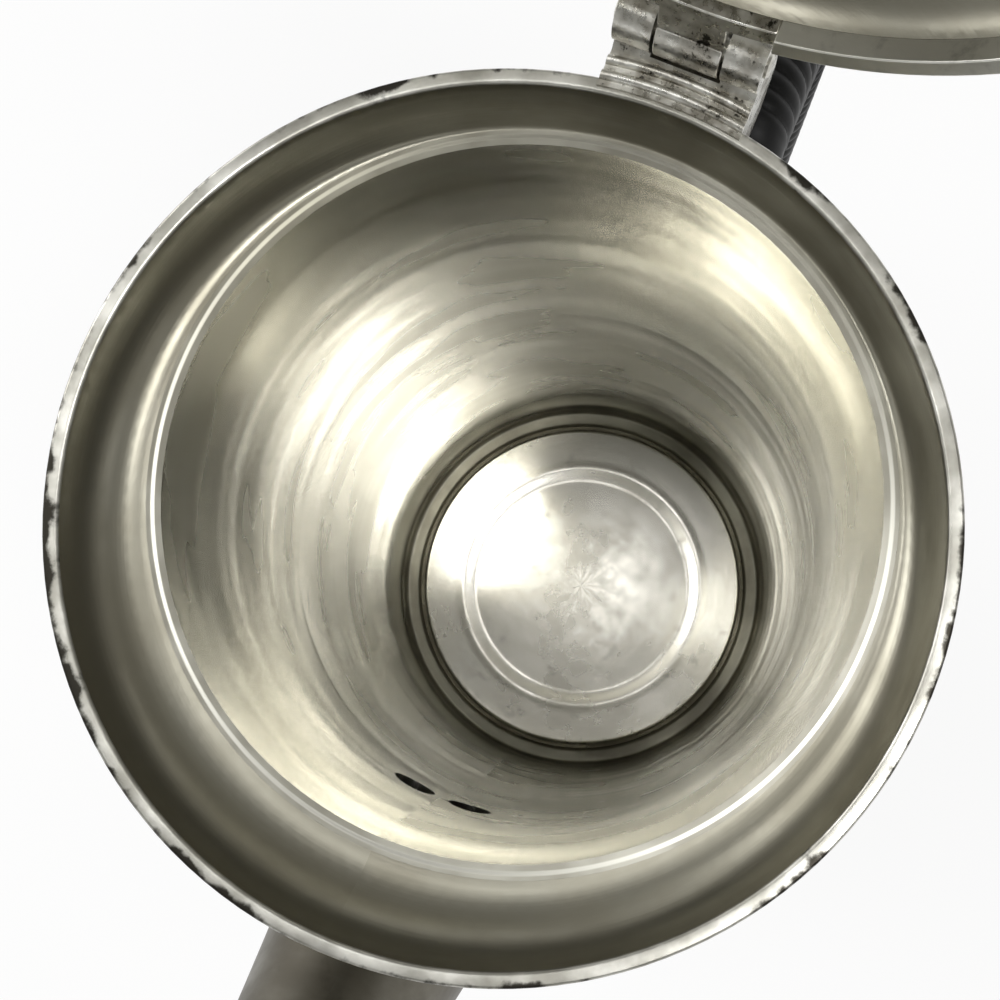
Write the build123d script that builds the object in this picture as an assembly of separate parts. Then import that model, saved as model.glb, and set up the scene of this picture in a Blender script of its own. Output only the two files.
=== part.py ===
from build123d import *
import math
import os

os.makedirs("parts", exist_ok=True)

# Pewter coffee pot with a hinged lid, millimetres, +Z up.
# The origin is the centre of the foot's rest face, on the body's axis.
# +X points to the handle and the hinge, -X to the spout.
# The lid is built shut and then turned back on its pin to where it rests open.

# Body, floor and foot
wall = 1.7
floor_height = 6.0
inner_depth = 156.0
neck_inner_radius = 40.0
neck_band_height = 9.5
belly_inner_radius = 44.6
belly_height = 58.0
base_inner_radius = 43.7
base_band_height = 8.5
floor_thickness = 1.5
floor_disc_radius = 39.0
floor_groove_depth = 1.8
floor_groove_slope = 0.9
floor_ring_radius = 27.8
floor_ring_drop = 0.5
foot_spread = 5.0
foot_tread_height = 1.6
foot_collar_height = 11.0
foot_collar_thickness = 1.2
foot_collar_bevel = 1.5
foot_land = 3.0

# Collar round the mouth, whose centre stands towards the spout
mouth_inner_radius = 46.0
mouth_lip_width = 1.7
mouth_offset = 3.5
ledge_depth = 8.2
collar_skirt = 8.5
collar_thickness = 1.4
lip_height = 1.8
lip_round = 0.4

# Strainer holes behind the spout, taller than they are wide
strainer_half_width = 3.3
strainer_half_height = 4.6
strainer_pitch = 8.9
strainer_depth = 52.0

# Spout
spout_wall = 1.6
spout_root_half_width = 17.0
spout_root_half_height = 24.0
spout_tip_half_width = 7.0
spout_tip_half_height = 6.5
spout_root_height = 104.0
spout_tip_reach = 88.0
spout_tip_drop = 3.0

# Hinge
hinge_standoff = 5.1
hinge_rise = 3.0
hinge_block_width = 16.0
hinge_block_depth = 9.5
hinge_block_reach = 5.2
hinge_block_bevel = 3.6
hinge_wall_drop = 0.6
hinge_lap = 1.1
hinge_step = 0.35
hinge_bead_width = 1.1
hinge_bead_pitch = 1.7
hinge_bead_rise = 0.55
knuckle_radius = 2.8
centre_knuckle_width = 7.1
knuckle_side_gap = 0.35
knuckle_round_gap = 0.45
pin_radius = 1.2
pin_running_clearance = 0.05
pin_head_height = 0.5
lid_open_angle = 95.0

# Lid
lid_seat_gap = 0.3
lid_band_width = 1.8
lid_band_height = 2.5
lid_wall = 1.4
lid_dome_height = 21.0
lid_crown_radius = 9.0
lid_shoulder_radius = 41.0
lid_shoulder_height = 6.5
lid_middle_radius = 25.0
lid_middle_height = 15.5
lid_step = 0.3
leaf_side_gap = 0.4
leaf_rise_gap = 0.3

# Finial
finial_collar_radius = 8.0
finial_collar_height = 2.6
finial_collar_edge = 0.8
finial_waist_radius = 4.2
finial_ball_radius = 9.0
finial_height = 17.0
screw_radius = 1.5
screw_clearance = 0.15
screw_head_radius = 3.4
screw_head_height = 1.8
screw_slot_width = 0.9
screw_slot_depth = 1.2
screw_bite = 10.0
washer_radius = 6.0
washer_thickness = 0.8

# Handle
grip_width = 24.0
grip_thickness = 13.0
grip_foot_width = 19.0
grip_corner = 4.6
grip_reach = 86.0
grip_knee_inset = 12.0
grip_heel_inset = 10.5
upper_socket_drop = 21.0
lower_socket_height = 54.0
socket_reach = 7.5
socket_wall = 1.4
socket_seat_depth = 4.5
handle_pin_radius = 1.1

# Places worked out from the sizes above
rim_height = floor_height + inner_depth
ledge_height = rim_height - ledge_depth
neck_outer_radius = neck_inner_radius + wall
mouth_outer_radius = mouth_inner_radius + mouth_lip_width
base_outer_radius = base_inner_radius + wall
shell_bottom = floor_height - floor_groove_depth - floor_thickness
mouth_centre = -mouth_offset
hinge_x = mouth_centre + mouth_outer_radius + hinge_standoff
hinge_z = rim_height + hinge_rise
strainer_height = rim_height - strainer_depth
upper_socket_height = rim_height - upper_socket_drop
hinge_front = mouth_outer_radius - hinge_lap
bead_top = rim_height + hinge_step + hinge_bead_rise
leaf_bottom = bead_top + leaf_rise_gap
lid_bottom = rim_height + lid_seat_gap
lid_band_top = lid_bottom + lid_band_height
dome_top = lid_band_top + lid_dome_height


def disc(radius, height, x=0.0):
    """A round face at one height."""
    return Pos(x, 0, height) * Circle(radius)


def turned(edges):
    """A solid turned from a closed outline in the XZ plane."""
    return revolve(make_face(edges), Axis.Z)


def wall_curve(extra):
    """The wall's side view, moved outwards by the extra radius."""
    low = (base_inner_radius + extra, 0, shell_bottom)
    band_low = (base_inner_radius + extra, 0, shell_bottom + base_band_height)
    belly = (belly_inner_radius + extra, 0, belly_height)
    band_high = (neck_inner_radius + extra, 0, ledge_height - neck_band_height)
    high = (neck_inner_radius + extra, 0, ledge_height)
    side = Spline(band_low, belly, band_high, tangents=[(0, 0, 1), (0, 0, 1)])
    return [Line(low, band_low), side, Line(band_high, high)]


def filled_wall(extra):
    """The body as a full solid out to the extra radius."""
    edges = wall_curve(extra)
    top = (0, 0, ledge_height)
    bottom = (0, 0, shell_bottom)
    edges.append(Line(edges[-1] @ 1, top))
    edges.append(Line(top, bottom))
    edges.append(Line(bottom, edges[0] @ 0))
    return turned(edges)


body_outside = filled_wall(wall)


def make_body_shell():
    """Spun wall, open at both ends, with the two strainer holes."""
    shell = body_outside - filled_wall(0)
    punch = extrude(Ellipse(strainer_half_height, strainer_half_width), 2 * belly_inner_radius)
    for side in (-1, 1):
        place = Pos(0, side * strainer_pitch / 2, strainer_height)
        shell -= place * Rot(0, -90, 0) * punch
    return shell


def make_floor():
    """Pressed floor with a groove round it and a shallow inner ring."""
    top = floor_height
    low = top - floor_groove_depth
    under = low - floor_thickness
    dish = top - floor_ring_drop
    outline = [(0, 0, dish), (floor_ring_radius - floor_ring_drop, 0, dish),
               (floor_ring_radius, 0, top), (floor_disc_radius, 0, top),
               (floor_disc_radius + floor_groove_slope, 0, low),
               (base_inner_radius, 0, low), (base_inner_radius, 0, under),
               (0, 0, under)]
    return turned(Polyline(*outline, close=True).edges())


def make_foot_ring():
    """Turned foot with a hollow side, round the lower end of the wall."""
    seat = base_outer_radius
    tread = seat + foot_spread
    shoulder = seat + foot_collar_thickness
    inner = seat - foot_land
    foot_top = foot_collar_height
    edges = [Line((inner, 0, 0), (tread, 0, 0)),
             Line((tread, 0, 0), (tread, 0, foot_tread_height)),
             Spline((tread, 0, foot_tread_height), (shoulder, 0, foot_top - foot_collar_bevel),
                    tangents=[(-1, 0, 0.35), (0, 0, 1)]),
             Line((shoulder, 0, foot_top - foot_collar_bevel), (seat, 0, foot_top)),
             Line((seat, 0, foot_top), (seat, 0, shell_bottom)),
             Line((seat, 0, shell_bottom), (inner, 0, shell_bottom)),
             Line((inner, 0, shell_bottom), (inner, 0, 0))]
    return turned(edges)


def flare_sections(count=4):
    """Circles of the mouth's inside, swelling and moving off to the spout."""
    sections = []
    for step in range(count + 1):
        turn = math.radians(90) * step / count
        swell = math.sin(turn)
        height = ledge_height + ledge_depth * (1 - math.cos(turn))
        radius = neck_outer_radius + (mouth_inner_radius - neck_outer_radius) * swell
        sections.append(disc(radius, height, mouth_centre * swell))
    return sections


def collar_outside():
    """The collar as a full solid, from its skirt to the lip's top."""
    start = ledge_height - collar_skirt
    stop = rim_height - lip_height
    first = neck_outer_radius + collar_thickness
    sections = []
    count = 4
    for step in range(count + 1):
        share = step / count
        swell = share * share * (3 - 2 * share)
        radius = first + (mouth_outer_radius - first) * swell
        sections.append(disc(radius, start + (stop - start) * share, mouth_centre * swell))
    lip = extrude(disc(mouth_outer_radius, stop, mouth_centre), lip_height)
    return loft(sections) + lip


collar_solid = collar_outside()


def make_neck_collar():
    """Flared collar soldered round the neck, its mouth off the body's axis."""
    flare = loft(flare_sections())
    bore = Pos(0, 0, ledge_height) * Cylinder(
        neck_outer_radius, collar_skirt, align=(Align.CENTER, Align.CENTER, Align.MAX))
    collar = collar_solid - bore - flare
    rim_edges = collar.edges().group_by(Axis.Z)[-1]
    return fillet(rim_edges, lip_round)


def spout_plane(spot, lean):
    """A section's plane, its normal leaning up from -X by an angle."""
    turn = math.radians(lean)
    normal = (-math.cos(turn), 0, math.sin(turn))
    return Plane(origin=(spot[0], 0, spot[1]), x_dir=(0, 1, 0), z_dir=normal)


def spout_body(inset):
    """The spout's form through its sections, drawn in by the inset."""
    tip = (-spout_tip_reach, rim_height - spout_tip_drop)
    root = (-neck_outer_radius + spout_wall, spout_root_height)
    run = root[0] - tip[0]
    rise = tip[1] - root[1]
    stations = [(0.0, 0.0, 14, 0.0), (0.30, 0.16, 32, 0.16), (0.56, 0.40, 50, 0.42),
                (0.76, 0.70, 60, 0.74), (1.0, 1.0, 48, 1.0)]
    sections = []
    for along, up, lean, taper in stations:
        half_width = spout_root_half_width + (spout_tip_half_width - spout_root_half_width) * taper
        half_height = (spout_root_half_height
                       + (spout_tip_half_height - spout_root_half_height) * taper ** 0.7)
        spot = (root[0] - run * along, root[1] + rise * up)
        sections.append(spout_plane(spot, lean) * Ellipse(half_width - inset, half_height - inset))
    return loft(sections)


def make_spout():
    """Hollow spout, its root shaped to the body's side."""
    channel = spout_body(spout_wall)
    return spout_body(0) - channel - body_outside - collar_solid


def along_y(radius, width, x, z):
    """A cylinder lying along Y, centred on y = 0."""
    return Pos(x, 0, z) * Rot(90, 0, 0) * Cylinder(radius, width)


def hinge_moulding():
    """Two beads that follow the mouth's curve, lapping over the lip."""
    step = rim_height + hinge_step
    base = rim_height - lip_height
    at = hinge_front
    edges = [Line((at, 0, base), (at, 0, step))]
    for _ in range(2):
        start = at + hinge_bead_pitch - hinge_bead_width
        stop = at + hinge_bead_pitch
        middle = (start + stop) / 2
        edges.append(Line((at, 0, step), (start, 0, step)))
        edges.append(ThreePointArc((start, 0, step), (middle, 0, bead_top), (stop, 0, step)))
        at = stop
    edges.append(Line((at, 0, step), (at, 0, base)))
    edges.append(Line((at, 0, base), (hinge_front, 0, base)))
    sweep_angle = 2 * math.degrees(math.atan(hinge_block_width / hinge_front))
    ring = revolve(make_face(edges), Axis.Z, sweep_angle)
    ring = Pos(mouth_centre, 0, 0) * Rot(0, 0, -sweep_angle / 2) * ring
    return ring & Pos(0, 0, rim_height) * Box(4 * hinge_front, hinge_block_width, 4 * lip_height)


def make_hinge_block():
    """Cast block on the collar with two knuckles and a moulded top."""
    inner_x = mouth_centre + hinge_front
    outer_x = hinge_x + hinge_block_reach
    land = rim_height + hinge_step
    low = rim_height - hinge_block_depth
    outline = [(inner_x, 0, low), (outer_x - hinge_block_bevel, 0, low),
               (outer_x, 0, low + hinge_block_bevel),
               (outer_x, 0, hinge_z - hinge_wall_drop), (hinge_x + knuckle_radius, 0, hinge_z),
               (hinge_x, 0, hinge_z), (hinge_x - knuckle_radius, 0, land), (inner_x, 0, land)]
    side_view = make_face(Polyline(*outline, close=True).edges())
    block = extrude(side_view, hinge_block_width / 2, both=True)
    block += along_y(knuckle_radius, hinge_block_width, hinge_x, hinge_z)
    moulding_stop = hinge_front + 2 * hinge_bead_pitch
    block -= Pos(mouth_centre, 0, rim_height - lip_height) * Cylinder(
        moulding_stop, 3 * lip_height + hinge_rise,
        align=(Align.CENTER, Align.CENTER, Align.MIN))
    block += hinge_moulding()
    slot_width = centre_knuckle_width + 2 * knuckle_side_gap
    slot_radius = knuckle_radius + knuckle_round_gap
    slot = along_y(slot_radius, slot_width, hinge_x, hinge_z)
    slot += Pos(hinge_x, 0, hinge_z) * Box(
        2 * slot_radius, slot_width, 4 * slot_radius,
        align=(Align.CENTER, Align.CENTER, Align.MIN))
    slot += Pos(hinge_x, 0, hinge_z) * Box(
        2 * hinge_block_reach, slot_width, 4 * slot_radius,
        align=(Align.MIN, Align.CENTER, Align.MIN))
    slot += Pos(hinge_x, 0, bead_top) * Box(
        hinge_x, slot_width, 4 * slot_radius, align=(Align.MAX, Align.CENTER, Align.MIN))
    pin_hole = along_y(pin_radius, 2 * hinge_block_width, hinge_x, hinge_z)
    return block - slot - collar_solid - pin_hole


def make_hinge_pin():
    """Pin through all three knuckles, peened over at both ends."""
    pin = along_y(pin_radius, hinge_block_width + 2 * pin_head_height, hinge_x, hinge_z)
    return chamfer(pin.edges(), pin_head_height / 2)


def opened(piece):
    """Turn a lid piece back on the hinge to where the lid rests."""
    return Pos(hinge_x, 0, hinge_z) * Rot(0, lid_open_angle, 0) * Pos(-hinge_x, 0, -hinge_z) * piece


def lid_ring():
    """The full ring at the lid's edge, before it is cut for the leaf."""
    ring = Circle(mouth_outer_radius) - Circle(mouth_outer_radius - lid_band_width)
    return Pos(mouth_centre, 0, lid_bottom) * extrude(ring, lid_band_height)


def leaf_place():
    """The stretch of the lid's edge that the leaf takes up."""
    return Pos(0, 0, lid_bottom) * Box(
        2 * mouth_outer_radius, hinge_block_width + 2 * leaf_side_gap, 3 * lid_band_height,
        align=(Align.MIN, Align.CENTER, Align.CENTER))


def make_hinge_leaf():
    """Leaf set into the lid's edge over the beads, narrowing to the middle knuckle."""
    edge_x = mouth_centre + mouth_outer_radius
    arm = Pos(edge_x - lid_band_width / 2, 0, leaf_bottom) * Box(
        hinge_standoff + lid_band_width / 2, centre_knuckle_width, lid_band_top - leaf_bottom,
        align=(Align.MIN, Align.CENTER, Align.MIN))
    knuckle = along_y(knuckle_radius, centre_knuckle_width, hinge_x, hinge_z)
    under = Pos(edge_x, 0, leaf_bottom) * Box(
        4 * lid_band_width, 2 * hinge_block_width, lid_band_height,
        align=(Align.CENTER, Align.CENTER, Align.MAX))
    leaf = ((lid_ring() & leaf_place()) - under) + arm + knuckle
    bore = pin_radius + pin_running_clearance
    return leaf - along_y(bore, 2 * centre_knuckle_width, hinge_x, hinge_z)


def make_lid_band():
    """Band round the lid's edge, cut clean where the hinge leaf sits."""
    return lid_ring() - leaf_place()


def dome_side(inset):
    """The dome's side view, drawn in by the inset."""
    foot = (mouth_outer_radius - lid_step - inset, 0, lid_band_top)
    shoulder = (lid_shoulder_radius, 0, lid_band_top + lid_shoulder_height - inset)
    middle = (lid_middle_radius, 0, lid_band_top + lid_middle_height - inset)
    crown = (lid_crown_radius, 0, dome_top - inset)
    return Spline(foot, shoulder, middle, crown, tangents=[(-0.25, 0, 1), (-1, 0, 0.12)])


def filled_dome(inset):
    """The dome as a full solid about its own axis."""
    side = dome_side(inset)
    start, stop = side @ 0, side @ 1
    top = (0, 0, stop.Z)
    foot = (0, 0, start.Z)
    return turned([side, Line(stop, top), Line(top, foot), Line(foot, start)])


def make_lid_shell():
    """Spun dome with a hole for the finial's screw."""
    shell = filled_dome(0) - filled_dome(lid_wall)
    hole = Pos(0, 0, dome_top) * Cylinder(screw_radius + screw_clearance, 4 * lid_wall)
    return Pos(mouth_centre, 0, 0) * (shell - hole)


def make_finial_collar():
    """Turned collar between the dome and the knob."""
    base = dome_top
    top = base + finial_collar_height
    bore = screw_radius + screw_clearance
    edges = [Line((bore, 0, base), (finial_collar_radius, 0, base)),
             Line((finial_collar_radius, 0, base), (finial_collar_radius, 0, base + finial_collar_edge)),
             Spline((finial_collar_radius, 0, base + finial_collar_edge), (finial_waist_radius, 0, top),
                    tangents=[(-1, 0, 0.3), (0, 0, 1)]),
             Line((finial_waist_radius, 0, top), (bore, 0, top)),
             Line((bore, 0, top), (bore, 0, base))]
    return Pos(mouth_centre, 0, 0) * turned(edges)


def make_finial_knob():
    """Round black knob on a short waist."""
    base = dome_top + finial_collar_height
    waist = finial_waist_radius
    ball = finial_ball_radius
    top = base + finial_height
    side = Spline((waist, 0, base), (ball, 0, base + finial_height * 0.55), (0, 0, top),
                  tangents=[(0, 0, 1), (-1, 0, 0)])
    knob = turned([side, Line((0, 0, top), (0, 0, base)), Line((0, 0, base), (waist, 0, base))])
    knob -= Pos(0, 0, base) * Cylinder(screw_radius, screw_bite,
                                       align=(Align.CENTER, Align.CENTER, Align.MIN))
    return Pos(mouth_centre, 0, 0) * knob


def make_finial_washer():
    """Washer under the dome."""
    top = dome_top - lid_wall
    ring = Circle(washer_radius) - Circle(screw_radius + screw_clearance)
    return Pos(mouth_centre, 0, top) * extrude(ring, -washer_thickness)


def make_finial_screw():
    """Screw from inside the lid up into the knob."""
    head_top = dome_top - lid_wall - washer_thickness
    shank_top = dome_top + finial_collar_height + screw_bite
    head = Pos(0, 0, head_top) * extrude(Circle(screw_head_radius), -screw_head_height)
    shank = Pos(0, 0, head_top) * extrude(Circle(screw_radius), shank_top - head_top)
    slot = Pos(0, 0, head_top - screw_head_height) * Box(
        3 * screw_head_radius, screw_slot_width, screw_slot_depth)
    return Pos(mouth_centre, 0, 0) * (head + shank - slot)


def grip_path():
    """Middle line of the grip, from the upper socket's mouth to the lower one's."""
    upper = (neck_outer_radius + socket_reach, 0, upper_socket_height)
    lower = (belly_inner_radius + wall + socket_reach, 0, lower_socket_height)
    drop = upper[2] - lower[2]
    knee = (grip_reach - grip_knee_inset, 0, upper[2] - drop * 0.08)
    back = (grip_reach, 0, upper[2] - drop * 0.38)
    heel = (grip_reach - grip_heel_inset, 0, upper[2] - drop * 0.72)
    return Spline(upper, knee, back, heel, lower, tangents=[(1, 0, 0.12), (-1, 0, -0.5)])


def grip_section(path, share, grow=0.0):
    """Rounded section across the grip, a share of the way down it."""
    width = grip_width + (grip_foot_width - grip_width) * share
    plane = Plane(origin=path @ share, x_dir=(0, 1, 0), z_dir=path % share)
    outline = RectangleRounded(width + 2 * grow, grip_thickness + 2 * grow, grip_corner + grow)
    return plane * outline


def make_handle():
    """Grip with a straight tail in each socket, the sockets and their cross pins."""
    path = grip_path()
    shares = [0, 0.22, 0.42, 0.62, 0.82, 1]
    grip = loft([grip_section(path, share) for share in shares])
    sockets = []
    pins = []
    for end, inward in ((0, -(path % 0)), (1, path % 1)):
        tail = extrude(grip_section(path, end), socket_seat_depth, dir=inward)
        width = grip_width if end == 0 else grip_foot_width
        spot = path @ end + inward * (socket_seat_depth / 2)
        pin = along_y(handle_pin_radius, width + 2 * socket_wall, spot.X, spot.Z)
        boss = extrude(grip_section(path, end, socket_wall), 3 * socket_reach, dir=inward)
        grip += tail
        sockets.append(boss - tail - body_outside - collar_solid - pin)
        pins.append(pin)
    for pin in pins:
        grip -= pin
    return grip, sockets[0], sockets[1], Compound(pins)


pieces = {
    "body_shell": make_body_shell(),
    "floor_plate": make_floor(),
    "foot_ring": make_foot_ring(),
    "neck_collar": make_neck_collar(),
    "spout": make_spout(),
    "hinge_block": make_hinge_block(),
    "hinge_pin": make_hinge_pin(),
    "hinge_leaf": opened(make_hinge_leaf()),
    "lid_band": opened(make_lid_band()),
    "lid_shell": opened(make_lid_shell()),
    "finial_collar": opened(make_finial_collar()),
    "finial_knob": opened(make_finial_knob()),
    "finial_washer": opened(make_finial_washer()),
    "finial_screw": opened(make_finial_screw()),
}
grip, upper_socket, lower_socket, handle_pins = make_handle()
pieces["handle_grip"] = grip
pieces["upper_socket"] = upper_socket
pieces["lower_socket"] = lower_socket
pieces["handle_pins"] = handle_pins

for name, piece in pieces.items():
    export_step(piece, f"parts/{name}.step")
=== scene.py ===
import bpy
import math
import numpy as np
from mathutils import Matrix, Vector
from mathutils.bvhtree import BVHTree


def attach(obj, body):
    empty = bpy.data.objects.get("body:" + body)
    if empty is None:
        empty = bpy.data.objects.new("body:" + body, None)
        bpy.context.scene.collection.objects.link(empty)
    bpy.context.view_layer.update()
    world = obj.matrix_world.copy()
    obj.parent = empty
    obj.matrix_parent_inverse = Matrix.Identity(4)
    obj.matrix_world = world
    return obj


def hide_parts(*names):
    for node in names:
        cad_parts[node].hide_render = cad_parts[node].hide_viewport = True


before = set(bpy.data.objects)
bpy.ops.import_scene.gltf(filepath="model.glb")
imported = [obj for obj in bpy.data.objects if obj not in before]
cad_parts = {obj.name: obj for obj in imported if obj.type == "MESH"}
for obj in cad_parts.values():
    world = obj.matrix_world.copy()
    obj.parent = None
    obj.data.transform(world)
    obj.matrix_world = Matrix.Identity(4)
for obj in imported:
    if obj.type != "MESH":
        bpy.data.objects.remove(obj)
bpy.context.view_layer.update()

MM = 0.001

# Sizes of the pot that the finish and the added pieces follow, in millimetres
RIM_HEIGHT = 162.0
LEDGE_HEIGHT = 153.8
MOUTH_RADIUS = 46.0
MOUTH_CENTRE = -3.5
NECK_OUTER_RADIUS = 41.7
WALL_FOOT_RADIUS = 43.7
LID_OPEN_ANGLE = 95.0

# Pressed floor
FLOOR_HEIGHT = 6.0
FLOOR_THICKNESS = 1.5
FLOOR_DISC_RADIUS = 39.0
FLOOR_RING_RADIUS = 27.8
FLOOR_RING_DROP = 0.5
FLOOR_RING_INNER_SLOPE = 2.4
FLOOR_RING_OUTER_SLOPE = 1.2
FLOOR_CROWN = 0.22
FLOOR_BEAD_RISE = 0.05
FLOOR_BEAD_WIDTH = 1.0
FLOOR_BEAD_OFFSET = 1.4
FLOOR_GROOVE_DEPTH = 1.8
FLOOR_GROOVE_INNER_SLOPE = 1.4
FLOOR_GROOVE_OUTER_SLOPE = 1.3
FLOOR_EDGE_SLOPE = 1.5
FLOOR_PAINTED_SHADE_MARGIN = 0.4
FLOOR_SHARP_ANGLE = 50.0

# The grip's middle line, as the solid has it, and its moulded ribs
GRIP_POINTS = [(49.2, 141.0), (74.0, 134.04), (86.0, 107.94), (75.5, 78.36), (53.8, 54.0)]
GRIP_START = (1.0, 0.12)
GRIP_END = (-1.0, -0.5)
RIB_PITCH = 2.05
RIB_DEPTH = 0.55
RIB_SHARPNESS = 0.55
RIB_PLAIN_END = 2.2
RIB_FADE = 1.5

# Edges of the cast and turned pieces
CREASE_ANGLE = 32.0
WORN_EDGE_ANGLE = 40.0
WORN_EDGE_WIDTH = 0.14

# Fine lines that a lathe leaves: how many to the metre, and how little they vary along the turn
LATHE_LINES = 2600.0
LATHE_DRIFT = 0.0006
TARNISH_BROWN = (0.05, 0.045, 0.035)


class Nodes:
    """A material's node tree, with short calls for the nodes it needs."""

    def __init__(self, name):
        self.material = bpy.data.materials.new(name)
        self.material.use_nodes = True
        self.tree = self.material.node_tree
        self.shader = self.tree.nodes["Principled BSDF"]
        self.place = self.add("ShaderNodeTexCoord").outputs["Object"]

    def add(self, kind, **values):
        node = self.tree.nodes.new(kind)
        for key, value in values.items():
            setattr(node, key, value)
        return node

    def link(self, source, target):
        self.tree.links.new(source, target)

    def feed(self, socket, value):
        """Links a socket to a node's output, or sets it to a plain value."""
        if hasattr(value, "links"):
            self.link(value, socket)
        else:
            socket.default_value = value

    def math(self, operation, first, second=0.0):
        node = self.add("ShaderNodeMath", operation=operation)
        self.feed(node.inputs[0], first)
        self.feed(node.inputs[1], second)
        return node.outputs[0]

    def weigh(self, *shares):
        """Sum of values, each times its own weight."""
        total = None
        for value, weight in shares:
            part = self.math("MULTIPLY", value, weight)
            total = part if total is None else self.math("ADD", total, part)
        return total

    def stretched(self, scale):
        """Object coordinates scaled by axis."""
        node = self.add("ShaderNodeMapping")
        self.link(self.place, node.inputs["Vector"])
        node.inputs["Scale"].default_value = scale
        return node.outputs["Vector"]

    def split(self, centre_x=0.0):
        """Radius, height and angle round the upright axis at centre_x."""
        parts = self.add("ShaderNodeSeparateXYZ")
        self.link(self.place, parts.inputs[0])
        across = self.math("SUBTRACT", parts.outputs["X"], centre_x)
        square = self.math("ADD", self.math("MULTIPLY", across, across),
                           self.math("MULTIPLY", parts.outputs["Y"], parts.outputs["Y"]))
        radius = self.math("SQRT", square)
        angle = self.math("ARCTAN2", parts.outputs["Y"], across)
        return radius, parts.outputs["Z"], angle

    def vector(self, x, y, z):
        node = self.add("ShaderNodeCombineXYZ")
        for socket, value in zip(node.inputs, (x, y, z)):
            self.feed(socket, value)
        return node.outputs[0]

    def wrapped(self, first, angle, drift, last=0.0):
        """A place whose marks run round the axis: drift says how fast they change on the way."""
        return self.vector(first, self.math("MULTIPLY", angle, drift), last)

    def noise(self, vector, scale, detail=3.0, roughness=0.55):
        node = self.add("ShaderNodeTexNoise")
        self.link(vector, node.inputs["Vector"])
        node.inputs["Scale"].default_value = scale
        node.inputs["Detail"].default_value = detail
        node.inputs["Roughness"].default_value = roughness
        return node.outputs["Fac"]

    def ramp(self, value, low, high, low_out=0.0, high_out=1.0):
        """Smooth change from low_out to high_out as the value goes from low to high."""
        node = self.add("ShaderNodeMapRange", interpolation_type="SMOOTHSTEP")
        self.link(value, node.inputs["Value"])
        node.inputs["From Min"].default_value = low
        node.inputs["From Max"].default_value = high
        node.inputs["To Min"].default_value = low_out
        node.inputs["To Max"].default_value = high_out
        return node.outputs["Result"]

    def mix(self, share, first, second):
        """Colour between first, at a share of 0, and second, at 1."""
        node = self.add("ShaderNodeMix", data_type="RGBA")
        self.feed(node.inputs[0], share)
        self.feed(node.inputs[6], first if hasattr(first, "links") else (*first, 1.0))
        self.feed(node.inputs[7], second if hasattr(second, "links") else (*second, 1.0))
        return node.outputs[2]

    def bump(self, height, strength, distance, under=None):
        """Relief of a height, laid on the relief under it if there is one."""
        node = self.add("ShaderNodeBump")
        node.inputs["Strength"].default_value = strength
        node.inputs["Distance"].default_value = distance
        self.link(height, node.inputs["Height"])
        if under is not None:
            self.link(under, node.inputs["Normal"])
        return node.outputs["Normal"]

    def finish(self, colour, roughness, normal=None, metallic=1.0):
        self.feed(self.shader.inputs["Base Color"], colour)
        self.feed(self.shader.inputs["Roughness"], roughness)
        self.shader.inputs["Metallic"].default_value = metallic
        if normal is not None:
            self.link(normal, self.shader.inputs["Normal"])
        return self.material


def turned_pewter(name, light, dark, rough_low, rough_high, lathe=0.3, scratches=0.3,
                  tarnish=0.0, centre_x=0.0):
    """Pewter that was spun or turned: cloudy tone, lathe lines and fine scratches."""
    made = Nodes(name)
    radius, height, angle = made.split(centre_x)
    clouds = made.noise(made.place, scale=45.0, detail=4.0)
    smears = made.noise(made.wrapped(radius, angle, 0.012, height), scale=210.0, detail=4.0)
    tone = made.weigh((clouds, 0.6), (smears, 0.4))
    colour = made.mix(made.ramp(tone, low=0.34, high=0.66), dark, light)
    if tarnish > 0.0:
        spots = made.noise(made.place, scale=260.0, detail=5.0, roughness=0.6)
        spotted = made.math("MULTIPLY", made.ramp(spots, low=0.56, high=0.84), tarnish)
        colour = made.mix(spotted, colour, TARNISH_BROWN)
    profile = made.math("ADD", radius, height)
    lines = made.noise(made.wrapped(profile, angle, LATHE_DRIFT), scale=LATHE_LINES, detail=2.0)
    hairs = made.noise(made.stretched((40.0, 900.0, 260.0)), scale=3.0, detail=2.0)
    cross = made.noise(made.stretched((800.0, 60.0, 420.0)), scale=3.0, detail=2.0)
    marks = made.weigh((lines, lathe), (made.math("ADD", hairs, cross), scratches / 2))
    rough = made.ramp(tone, low=0.3, high=0.7, low_out=rough_high, high_out=rough_low)
    return made.finish(colour, rough, made.bump(marks, strength=0.35, distance=0.00006))


def spun_wall():
    """Inside of the body: a worn mirror with rings left by spinning and smeared streaks."""
    made = Nodes("wall_inside")
    radius, height, angle = made.split()
    streaks = made.noise(made.wrapped(radius, angle, 0.010, height), scale=120.0, detail=1.5)
    patches = made.noise(made.wrapped(radius, angle, 0.03, height), scale=34.0, detail=2.0)
    tone = made.weigh((streaks, 0.5), (patches, 0.5))
    colour = made.mix(made.ramp(tone, low=0.34, high=0.64), (0.46, 0.45, 0.385), (0.66, 0.65, 0.59))
    rings = made.noise(made.wrapped(height, angle, 0.0015), scale=70.0, detail=2.0, roughness=0.45)
    dents = made.noise(made.place, scale=30.0, detail=2.0)
    lines = made.noise(made.wrapped(height, angle, LATHE_DRIFT), scale=LATHE_LINES, detail=2.0)
    waved = made.bump(made.weigh((rings, 1.0), (dents, 0.9)), strength=1.0, distance=0.00048)
    lined = made.bump(lines, strength=0.10, distance=0.00004, under=waved)
    rough = made.ramp(tone, low=0.3, high=0.7, low_out=0.30, high_out=0.17)
    return made.finish(colour, rough, lined)


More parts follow.
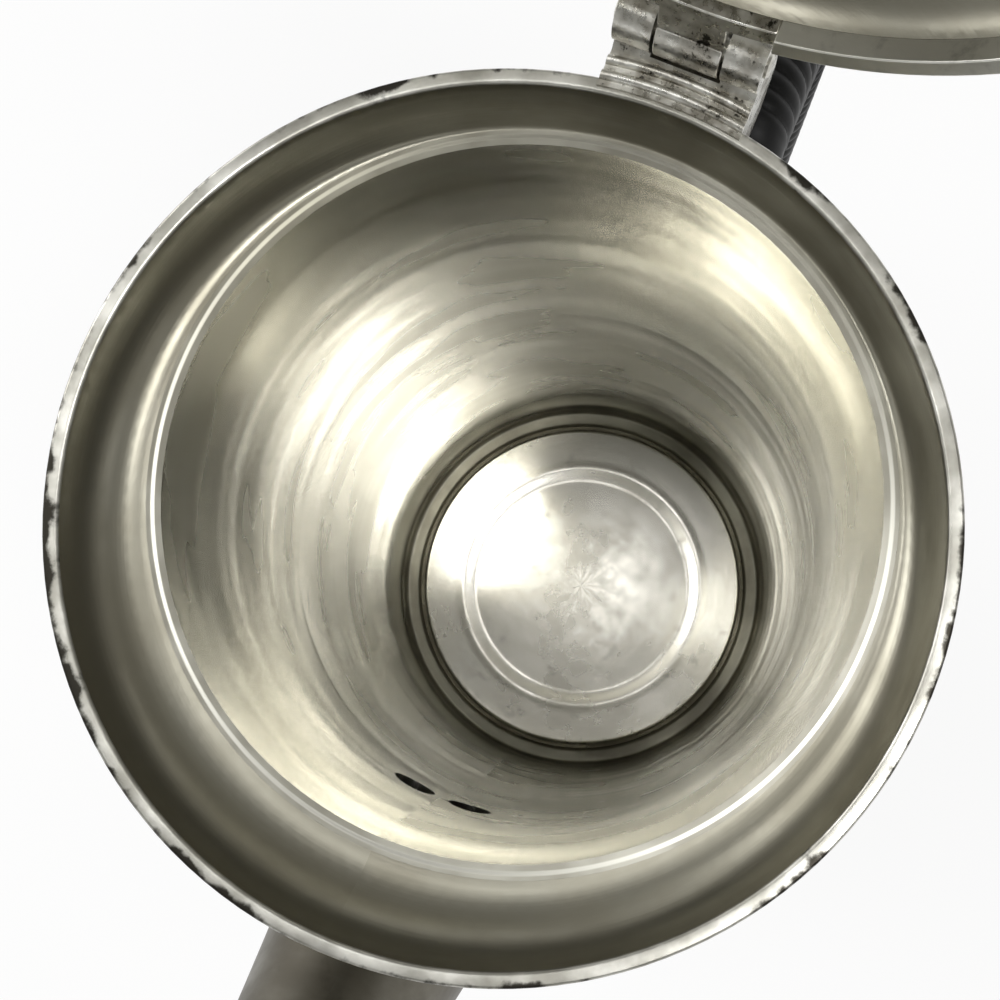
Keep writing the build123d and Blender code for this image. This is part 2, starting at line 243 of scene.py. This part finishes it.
def ledge_pewter():
    """Flat step round the neck's top: dull, with one painted highlight line round it, standing in for
    the light on the fillet.
    """
    made = Nodes("ledge_pewter")
    radius, _, angle = made.split()
    clouds = made.ramp(made.noise(made.place, scale=90.0), low=0.35, high=0.7)
    dull = made.mix(clouds, (0.26, 0.25, 0.21), (0.40, 0.39, 0.34))
    # painted highlight: a thin pale ring near the ledge's outer edge stands in for the light caught by
    # the fillet there
    highlight_radius = (NECK_OUTER_RADIUS - 0.75) * MM
    away = made.math("ABSOLUTE", made.math("SUBTRACT", radius, highlight_radius))
    highlight_line = made.ramp(away, low=0.12 * MM, high=0.34 * MM, low_out=1.0, high_out=0.0)
    colour = made.mix(highlight_line, dull, (0.58, 0.57, 0.51))
    turned = made.noise(made.wrapped(radius, angle, LATHE_DRIFT), scale=LATHE_LINES, detail=2.0)
    rough = made.ramp(highlight_line, low=0.0, high=1.0, low_out=0.50, high_out=0.32)
    return made.finish(colour, rough, made.bump(turned, strength=0.3, distance=0.00005))


def lip_pewter():
    """Pale worn lip with near-black tarnish along its outer edge."""
    made = Nodes("lip_pewter")
    radius, height, angle = made.split(MOUTH_CENTRE * MM)
    outward = made.ramp(radius, low=(MOUTH_RADIUS + 0.2) * MM, high=(MOUTH_RADIUS + 1.6) * MM)
    along = made.vector(made.math("MULTIPLY", angle, 0.05), radius, height)
    blotches = made.noise(along, scale=95.0, roughness=0.6)
    fine = made.noise(made.place, scale=420.0, detail=4.0, roughness=0.6)
    reach = made.weigh((blotches, 0.72), (fine, 0.28))
    edge = made.math("MULTIPLY", outward, 0.13)
    stain = made.ramp(made.math("ADD", reach, edge), low=0.60, high=0.68)
    clouds = made.ramp(made.noise(made.place, scale=130.0, detail=4.0), low=0.35, high=0.7)
    pale = made.mix(clouds, (0.34, 0.33, 0.29), (0.64, 0.63, 0.58))
    colour = made.mix(stain, pale, (0.035, 0.032, 0.026))
    rough = made.ramp(reach, low=0.3, high=0.7, low_out=0.30, high_out=0.48)
    return made.finish(colour, rough, made.bump(fine, strength=0.3, distance=0.0001))


def cast_pewter():
    """Sand-rough casting, bright on its high places and black in its pits."""
    made = Nodes("cast_pewter")
    pits = made.noise(made.place, scale=900.0, detail=5.0, roughness=0.65)
    lumps = made.noise(made.place, scale=330.0, roughness=0.5)
    dirt = made.weigh((pits, 0.55), (lumps, 0.45))
    tone = made.mix(made.ramp(lumps, low=0.35, high=0.65), (0.42, 0.40, 0.35), (0.80, 0.79, 0.74))
    colour = made.mix(made.ramp(dirt, low=0.42, high=0.36), tone, (0.03, 0.027, 0.02))
    rough = made.ramp(pits, low=0.3, high=0.7, low_out=0.42, high_out=0.22)
    return made.finish(colour, rough, made.bump(dirt, strength=0.6, distance=0.0002))


def black_plastic(name, grain_scale):
    """Moulded black plastic with a fine grain, worn a little shiny."""
    made = Nodes(name)
    grain = made.noise(made.place, scale=grain_scale, detail=4.0, roughness=0.6)
    wear = made.noise(made.place, scale=60.0)
    colour = made.mix(made.ramp(wear, low=0.3, high=0.75), (0.004, 0.004, 0.0045), (0.010, 0.010, 0.009))
    rough = made.ramp(wear, low=0.3, high=0.7, low_out=0.55, high_out=0.42)
    made.shader.inputs["Specular IOR Level"].default_value = 0.25
    return made.finish(colour, rough, made.bump(grain, strength=0.25, distance=0.00008), metallic=0.0)


def plain_stage(name, colour, glow_share=0.84):
    """Pale floor that stays white behind the pot and still takes a light shadow."""
    made = Nodes(name)
    cloudy = made.ramp(made.noise(made.place, scale=3.0, detail=2.0), low=0.2, high=0.8, low_out=0.985)
    shade = made.mix(cloudy, tuple(0.97 * part for part in colour), colour)
    made.finish(shade, 0.9, metallic=0.0)
    rays = made.add("ShaderNodeLightPath").outputs
    seen = made.math("MAXIMUM", rays["Is Camera Ray"], rays["Is Glossy Ray"])
    seen = made.math("MAXIMUM", seen, rays["Is Transmission Ray"])
    glow = made.add("ShaderNodeEmission")
    glow.inputs["Color"].default_value = (1.0, 1.0, 1.0, 1.0)
    glow.inputs["Strength"].default_value = 1.0
    blend = made.add("ShaderNodeMixShader")
    made.link(made.math("MULTIPLY", seen, glow_share), blend.inputs[0])
    made.link(made.shader.outputs[0], blend.inputs[1])
    made.link(glow.outputs[0], blend.inputs[2])
    made.link(blend.outputs[0], made.tree.nodes["Material Output"].inputs["Surface"])
    return made.material


# painted dark reflection: satin pewter coloured dark to stand in for the dark room that the flare and
# the lid's underside reflect
SATIN_PAINTED_DARK_REFLECTION = dict(light=(0.36, 0.345, 0.285), dark=(0.25, 0.235, 0.185),
                  rough_low=0.30, rough_high=0.42, lathe=0.6)
finishes = {
    "wall_inside": spun_wall(),
    "outside": turned_pewter("outside", light=(0.46, 0.45, 0.41), dark=(0.33, 0.32, 0.28),
                             rough_low=0.26, rough_high=0.42, tarnish=0.5),
    # painted shade: the spout's outside is coloured near-black to stand in for the shade it lies in; the
    # tarnish spots on it are real
    "spout_painted_shade": turned_pewter("spout_painted_shade", light=(0.19, 0.18, 0.15), dark=(0.11, 0.10, 0.08),
                                rough_low=0.30, rough_high=0.46, lathe=0.1, tarnish=0.5),
    "flare": turned_pewter("flare", centre_x=MOUTH_CENTRE * MM, **SATIN_PAINTED_DARK_REFLECTION),
    "ledge": ledge_pewter(),
    "floor": turned_pewter("floor", light=(0.66, 0.64, 0.58), dark=(0.48, 0.46, 0.40),
                           rough_low=0.20, rough_high=0.30, lathe=0.12, scratches=0.12, tarnish=0.4),
    # painted shade: the groove round the floor is coloured dark to stand in for the shade in it
    "groove": turned_pewter("groove", light=(0.26, 0.25, 0.20), dark=(0.15, 0.14, 0.11),
                            rough_low=0.35, rough_high=0.5),
    "lid_inside": turned_pewter("lid_inside", **SATIN_PAINTED_DARK_REFLECTION),
    "lid_edge": turned_pewter("lid_edge", light=(0.82, 0.81, 0.75), dark=(0.60, 0.59, 0.53),
                              rough_low=0.30, rough_high=0.45, tarnish=0.6),
    "lip": lip_pewter(),
    "cast": cast_pewter(),
    "steel": turned_pewter("steel", light=(0.62, 0.62, 0.61), dark=(0.45, 0.45, 0.44),
                           rough_low=0.2, rough_high=0.35),
    "grip_black": black_plastic("grip_black", grain_scale=700.0),
    "knob_black": black_plastic("knob_black", grain_scale=500.0),
}


def dress(node, choose):
    """Gives each face of a CAD node the finish that choose names for it."""
    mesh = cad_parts[node].data
    names = []
    picks = []
    for face in mesh.polygons:
        name = choose(face.center / MM, face.normal)
        if name not in names:
            names.append(name)
        picks.append(names.index(name))
    mesh.materials.clear()
    for name in names:
        mesh.materials.append(finishes[name])
    for face, pick in zip(mesh.polygons, picks):
        face.material_index = pick
        face.use_smooth = True


def inward(centre, normal):
    """True where a face looks towards the upright axis."""
    return centre.x * normal.x + centre.y * normal.y < 0


def shell_finish(centre, normal):
    """Ledge on the shell's flat top, mirror inside, satin outside."""
    if centre.z > LEDGE_HEIGHT - 0.4 and normal.z > 0.5:
        return "ledge"
    return "wall_inside" if inward(centre, normal) else "outside"


def collar_finish(centre, normal):
    """Worn lip on the collar's top edge, satin with painted dark reflection inside the flare."""
    from_mouth = math.hypot(centre.x - MOUTH_CENTRE, centre.y)
    if centre.z > RIM_HEIGHT - 0.5 and from_mouth > MOUTH_RADIUS - 0.3:
        return "lip"
    above_ledge = centre.z > LEDGE_HEIGHT - 0.05
    within_mouth = from_mouth < MOUTH_RADIUS + 0.05
    if above_ledge and within_mouth and (inward(centre, normal) or normal.z > 0.3):
        return "flare"
    return "outside"


lid_turn = math.radians(LID_OPEN_ANGLE)
lid_up = Vector((math.sin(lid_turn), 0, math.cos(lid_turn)))


def lid_finish(centre, normal):
    """Satin with painted dark reflection on the faces that look down when the lid is shut."""
    return "lid_inside" if normal.dot(lid_up) < -0.02 else "outside"


dress("body_shell", shell_finish)
dress("neck_collar", collar_finish)
dress("lid_shell", lid_finish)
plain_finishes = {
    "floor_plate": "floor",
    "foot_ring": "outside",
    "spout": "spout_painted_shade",
    "upper_socket": "outside",
    "lower_socket": "outside",
    "handle_pins": "lid_edge",
    "handle_grip": "grip_black",
    "hinge_block": "cast",
    "hinge_pin": "cast",
    "hinge_leaf": "cast",
    "lid_band": "lid_edge",
    "finial_collar": "outside",
    "finial_knob": "knob_black",
    "finial_screw": "steel",
    "finial_washer": "steel",
}
for node, finish_name in plain_finishes.items():
    dress(node, lambda centre, normal, name=finish_name: name)


def shade_smooth(node):
    """Joins a CAD node's patches and shades it smooth, but keeps its real edges."""
    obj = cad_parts[node]
    mesh = obj.data
    if "custom_normal" in mesh.attributes:
        mesh.attributes.remove(mesh.attributes["custom_normal"])
    spots = [tuple(round(c, 7) for c in vertex.co) for vertex in mesh.vertices]
    meeting = {}
    for face in mesh.polygons:
        for loop in face.loop_indices:
            edge = mesh.loops[loop].edge_index
            ends = frozenset(spots[v] for v in mesh.edges[edge].vertices)
            meeting.setdefault(ends, []).append((edge, face.normal.copy()))
    limit = math.cos(math.radians(CREASE_ANGLE))
    for sides in meeting.values():
        sharp = len(sides) != 2 or sides[0][1].dot(sides[1][1]) < limit
        for edge, _ in sides:
            mesh.edges[edge].use_edge_sharp = sharp
    weld = obj.modifiers.new("joined_patches", "WELD")
    weld.merge_threshold = MM * 0.001


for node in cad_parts:
    shade_smooth(node)


def round_edges(node):
    """Breaks the real edges of a CAD node so that they catch the light."""
    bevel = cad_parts[node].modifiers.new("worn_edges", "BEVEL")
    bevel.width = WORN_EDGE_WIDTH * MM
    bevel.segments = 2
    bevel.limit_method = "ANGLE"
    bevel.angle_limit = math.radians(WORN_EDGE_ANGLE)
    bevel.harden_normals = False


for node in ("hinge_block", "hinge_leaf", "lid_band", "finial_collar"):
    round_edges(node)


def new_object(name, vertices, faces, body, material):
    """A smooth mesh piece that rides on a body."""
    mesh = bpy.data.meshes.new(name)
    mesh.from_pydata(vertices, [], faces)
    mesh.update()
    obj = bpy.data.objects.new(name, mesh)
    bpy.context.scene.collection.objects.link(obj)
    for face in mesh.polygons:
        face.use_smooth = True
    mesh.materials.append(material)
    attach(obj, body)
    return obj


def soft_step(value, low, high):
    """Rises smoothly from 0 to 1 between two values."""
    share = min(1.0, max(0.0, (value - low) / (high - low)))
    return share * share * (3 - 2 * share)


def floor_height(radius):
    """Top of the pressed floor in millimetres: a dished middle, a ring and a groove."""
    ring = soft_step(radius, FLOOR_RING_RADIUS - FLOOR_RING_INNER_SLOPE,
                     FLOOR_RING_RADIUS + FLOOR_RING_OUTER_SLOPE)
    disc = FLOOR_HEIGHT - FLOOR_RING_DROP * (1 - ring)
    crown = FLOOR_CROWN * math.cos(math.pi / 2 * min(radius / FLOOR_RING_RADIUS, 1.0))
    from_bead = (radius - FLOOR_RING_RADIUS - FLOOR_BEAD_OFFSET) / FLOOR_BEAD_WIDTH
    bead = FLOOR_BEAD_RISE * math.exp(-from_bead ** 2)
    groove = FLOOR_GROOVE_DEPTH * soft_step(radius, FLOOR_DISC_RADIUS - FLOOR_GROOVE_INNER_SLOPE,
                                            FLOOR_DISC_RADIUS + FLOOR_GROOVE_OUTER_SLOPE)
    rise = FLOOR_GROOVE_DEPTH * soft_step(radius, WALL_FOOT_RADIUS - FLOOR_EDGE_SLOPE,
                                          WALL_FOOT_RADIUS) ** 2
    return disc + crown + bead - groove + rise


def make_pressed_floor():
    """Floor with the soft edges that pressing and wear leave."""
    around = 192
    rings = 150
    under = FLOOR_HEIGHT - FLOOR_GROOVE_DEPTH - FLOOR_THICKNESS
    radii = [WALL_FOOT_RADIUS * step / rings for step in range(1, rings + 1)]
    profile = [(radius, floor_height(radius)) for radius in radii]
    profile += [(WALL_FOOT_RADIUS, under), (WALL_FOOT_RADIUS / 2, under)]
    vertices = [(0, 0, floor_height(0) * MM)]
    for radius, height in profile:
        for turn in range(around):
            angle = 2 * math.pi * turn / around
            vertices.append((radius * MM * math.cos(angle), radius * MM * math.sin(angle), height * MM))
    bottom = len(vertices)
    vertices.append((0, 0, under * MM))
    faces = [(0, 1 + turn, 1 + (turn + 1) % around) for turn in range(around)]
    for ring in range(len(profile) - 1):
        for turn in range(around):
            a = 1 + ring * around + turn
            b = 1 + ring * around + (turn + 1) % around
            faces.append((a, a + around, b + around, b))
    last = 1 + (len(profile) - 1) * around
    faces += [(bottom, last + (turn + 1) % around, last + turn) for turn in range(around)]
    plate = new_object("pressed_floor", vertices, faces, "pot", finishes["floor"])
    plate.data.materials.append(finishes["groove"])
    for face in plate.data.polygons:
        radius = math.hypot(face.center.x, face.center.y) / MM
        # painted shade: faces in the groove round the floor take the dark groove colour
        in_painted_shade = radius > FLOOR_DISC_RADIUS + FLOOR_PAINTED_SHADE_MARGIN and face.normal.z > 0
        face.material_index = 1 if in_painted_shade else 0
    plate.data.set_sharp_from_angle(angle=math.radians(FLOOR_SHARP_ANGLE))
    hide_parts("floor_plate")


def grip_line(samples=400):
    """Points along the grip's smooth middle line, and how far along it each one lies, in metres."""
    knots = np.array(GRIP_POINTS) * MM
    spans = np.linalg.norm(np.diff(knots, axis=0), axis=1)
    count = len(knots)
    system = np.zeros((count, count))
    right = np.zeros((count, 2))
    system[0, 0] = 1.0
    system[-1, -1] = 1.0
    right[0] = np.array(GRIP_START) / np.linalg.norm(GRIP_START)
    right[-1] = np.array(GRIP_END) / np.linalg.norm(GRIP_END)
    for i in range(1, count - 1):
        before, after = spans[i - 1], spans[i]
        system[i, i - 1:i + 2] = 1 / before, 2 / before + 2 / after, 1 / after
        right[i] = (3 * (knots[i] - knots[i - 1]) / before ** 2
                    + 3 * (knots[i + 1] - knots[i]) / after ** 2)
    slopes = np.linalg.solve(system, right)
    fine = []
    for i in range(count - 1):
        for share in np.linspace(0, 1, samples, endpoint=False):
            cube, square = share ** 3, share ** 2
            fine.append((2 * cube - 3 * square + 1) * knots[i]
                        + (cube - 2 * square + share) * spans[i] * slopes[i]
                        + (3 * square - 2 * cube) * knots[i + 1]
                        + (cube - square) * spans[i] * slopes[i + 1])
    fine.append(knots[-1])
    fine = np.array(fine)
    run = np.concatenate([[0.0], np.cumsum(np.linalg.norm(np.diff(fine, axis=0), axis=1))])
    return fine, run


def make_ribbed_grip():
    """Grip with fine moulded ribs across it, laid on the solid's own surface."""
    steps_per_rib = 8
    around = 72
    look_ahead = 0.4 * MM
    ray_length = 30 * MM
    reach_if_missed = 6 * MM
    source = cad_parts["handle_grip"].data
    tree = BVHTree.FromPolygons([v.co for v in source.vertices],
                                [tuple(p.vertices) for p in source.polygons])
    fine, run = grip_line()
    length = run[-1]
    count = int(length / (RIB_PITCH * MM) * steps_per_rib)

    def at(distance):
        return np.interp(distance, run, fine[:, 0]), np.interp(distance, run, fine[:, 1])

    vertices = []
    for step in range(count + 1):
        s = length * step / count
        x, z = at(s)
        x_ahead, z_ahead = at(min(s + look_ahead, length))
        x_behind, z_behind = at(max(s - look_ahead, 0.0))
        dx = x_ahead - x_behind
        dz = z_ahead - z_behind
        size = math.hypot(dx, dz)
        out = Vector((-dz / size, 0, dx / size))
        centre = Vector((x, 0, z))
        from_end = min(s, length - s)
        fade = min(1.0, max(0.0, (from_end - RIB_PLAIN_END * MM) / (RIB_FADE * MM)))
        wave = abs(math.sin(math.pi * s / (RIB_PITCH * MM)))
        groove = RIB_DEPTH * MM * fade * (1.0 - wave ** RIB_SHARPNESS)
        for turn in range(around):
            angle = 2 * math.pi * turn / around
            ray = Vector((0, math.cos(angle), 0)) + out * math.sin(angle)
            spot = tree.ray_cast(centre, ray, ray_length)[0]
            reach = reach_if_missed if spot is None else (spot - centre).length
            vertices.append(centre + ray * (reach - groove))
    faces = []
    for step in range(count):
        for turn in range(around):
            a = step * around + turn
            b = step * around + (turn + 1) % around
            faces.append((a, b, b + around, a + around))
    faces.append(tuple(reversed(range(around))))
    faces.append(tuple(range(count * around, (count + 1) * around)))
    grip = new_object("ribbed_grip", vertices, faces, "pot", finishes["grip_black"])
    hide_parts("handle_grip")


make_pressed_floor()
make_ribbed_grip()


def soft_light(name, spot, aim, width, power):
    """A round lamp that looks from its spot at its aim, in metres and watts."""
    data = bpy.data.lights.new(name, "AREA")
    data.shape = "DISK"
    data.size = width
    data.energy = power
    lamp = bpy.data.objects.new(name, data)
    bpy.context.scene.collection.objects.link(lamp)
    lamp.location = spot
    lamp.rotation_euler = (Vector(aim) - Vector(spot)).to_track_quat("-Z", "Y").to_euler()


def make_floor_stage(size=6.0):
    """Pale floor that the pot stands on."""
    mesh = bpy.data.meshes.new("stage_floor")
    mesh.from_pydata([(-size, -size, 0), (size, -size, 0), (size, size, 0), (-size, size, 0)], [],
                     [(0, 1, 2, 3)])
    ground = bpy.data.objects.new("stage_floor", mesh)
    bpy.context.scene.collection.objects.link(ground)
    mesh.materials.append(plain_stage("stage_white", (0.86, 0.86, 0.86)))


def make_sky():
    """A soft sky, pale at the horizon and darker overhead."""
    world = bpy.data.worlds.new("studio")
    bpy.context.scene.world = world
    world.use_nodes = True
    tree = world.node_tree
    background = tree.nodes["Background"]
    where = tree.nodes.new("ShaderNodeTexCoord")
    parts = tree.nodes.new("ShaderNodeSeparateXYZ")
    tree.links.new(where.outputs["Generated"], parts.inputs[0])
    ramp = tree.nodes.new("ShaderNodeValToRGB")
    stops = ramp.color_ramp.elements
    stops[0].position = 0.14
    stops[0].color = (0.95, 0.95, 0.95, 1)
    stops[1].position = 1.0
    stops[1].color = (0.20, 0.20, 0.19, 1)
    middle = stops.new(0.36)
    middle.color = (0.30, 0.30, 0.285, 1)
    tree.links.new(parts.outputs["Z"], ramp.inputs["Fac"])
    tree.links.new(ramp.outputs["Color"], background.inputs["Color"])
    background.inputs["Strength"].default_value = 0.95


def make_lamps():
    """Three lamps over the mouth, and a wide one low on the +Y side."""
    pot_middle = (0.0, 0.0, 0.1)
    soft_light("overhead", spot=(0.065, 0.05, 1.25), aim=pot_middle, width=0.15, power=0.32)
    soft_light("key", spot=(-0.08, -0.42, 1.12), aim=pot_middle, width=0.46, power=7.0)
    soft_light("far_side", spot=(-0.05, 0.42, 1.15), aim=pot_middle, width=0.30, power=1.5)
    soft_light("window", spot=(0.15, 1.05, 0.62), aim=(0.0, 0.0, 0.12), width=0.8, power=6.5)


def make_camera():
    """The photograph's view: straight down into the open pot from close above."""
    data = bpy.data.cameras.new("camera")
    data.sensor_width = 36.0
    data.lens = 39.917
    data.shift_x = -0.10
    data.shift_y = 0.10
    data.clip_start = 0.005
    camera = bpy.data.objects.new("camera", data)
    bpy.context.scene.collection.objects.link(camera)
    camera.location = (-0.01145, -0.01829, 0.27505)
    camera.rotation_euler = [math.radians(turn) for turn in (3.001, 1.687, -67.479)]
    bpy.context.scene.camera = camera


make_floor_stage()
make_sky()
make_lamps()
make_camera()
bpy.context.scene.view_settings.view_transform = "Standard"
